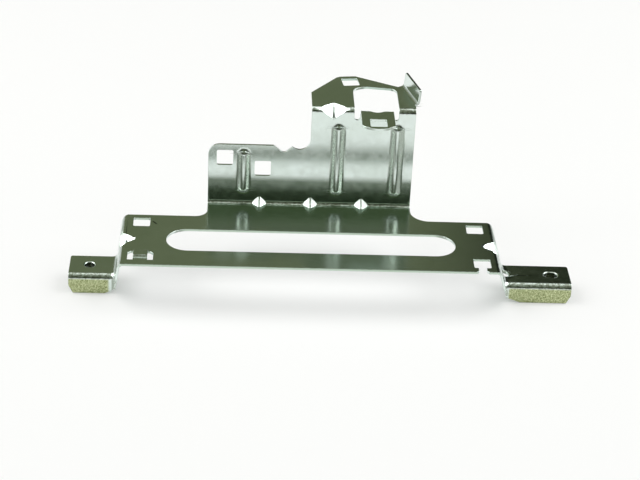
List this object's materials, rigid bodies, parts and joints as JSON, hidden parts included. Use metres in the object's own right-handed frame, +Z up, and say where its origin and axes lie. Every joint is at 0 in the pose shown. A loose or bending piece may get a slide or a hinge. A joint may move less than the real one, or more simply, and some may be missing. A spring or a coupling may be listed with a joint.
{
  "type": "engine control unit bracket",
  "caption": "Folded sheet steel bracket for an engine control unit, with a slotted base plate, a stepped upright with a top plate and tab, and a foot at each end.",
  "frame": {"origin": "centre of the round fixing hole in the left foot, in the plane of the foot's underside", "axes": "+X along the base plate from the left foot to the right one, +Y back to the upright, +Z up out of the base plate"},
  "size_m": [0.2404, 0.0996, 0.0848],
  "materials": {
    "zinc_steel": "dull zinc plating, faintly olive"
  },
  "bodies": {
    "root": {"bracket": "zinc_steel"}
  },
  "joints": []
}
